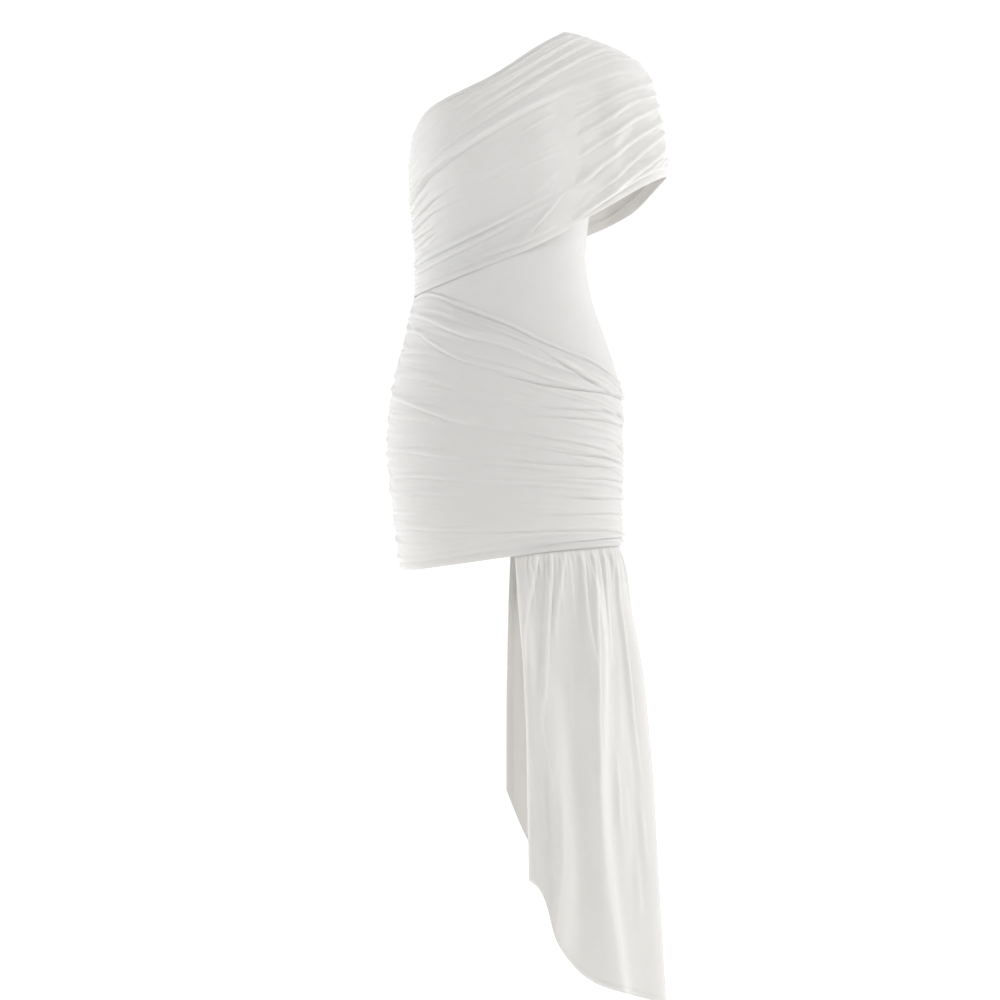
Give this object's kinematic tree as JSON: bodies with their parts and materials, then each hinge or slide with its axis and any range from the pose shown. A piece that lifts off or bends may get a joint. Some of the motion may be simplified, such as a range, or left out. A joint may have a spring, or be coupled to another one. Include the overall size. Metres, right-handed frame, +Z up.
{
  "type": "one-shoulder dress",
  "caption": "Ruched one-shoulder mini dress with a draped cape sleeve, a plain waist and a gathered side tail with a slanting hem.",
  "frame": {"origin": "where the wearer's left shoulder holds the dress up, just under the shoulder seam", "axes": "+Z up, the front of the dress faces -Y, the wearer's left arm is at +X"},
  "size_m": [0.3985, 0.2332, 1.36],
  "materials": {
    "jersey": "matte white stretch jersey with a soft sheen"
  },
  "bodies": {
    "root": {"drape_front": "jersey", "drape_back": "jersey", "waist_front": "jersey", "waist_back": "jersey", "skirt_front": "jersey", "skirt_back": "jersey", "side_tail": "jersey"}
  },
  "joints": []
}
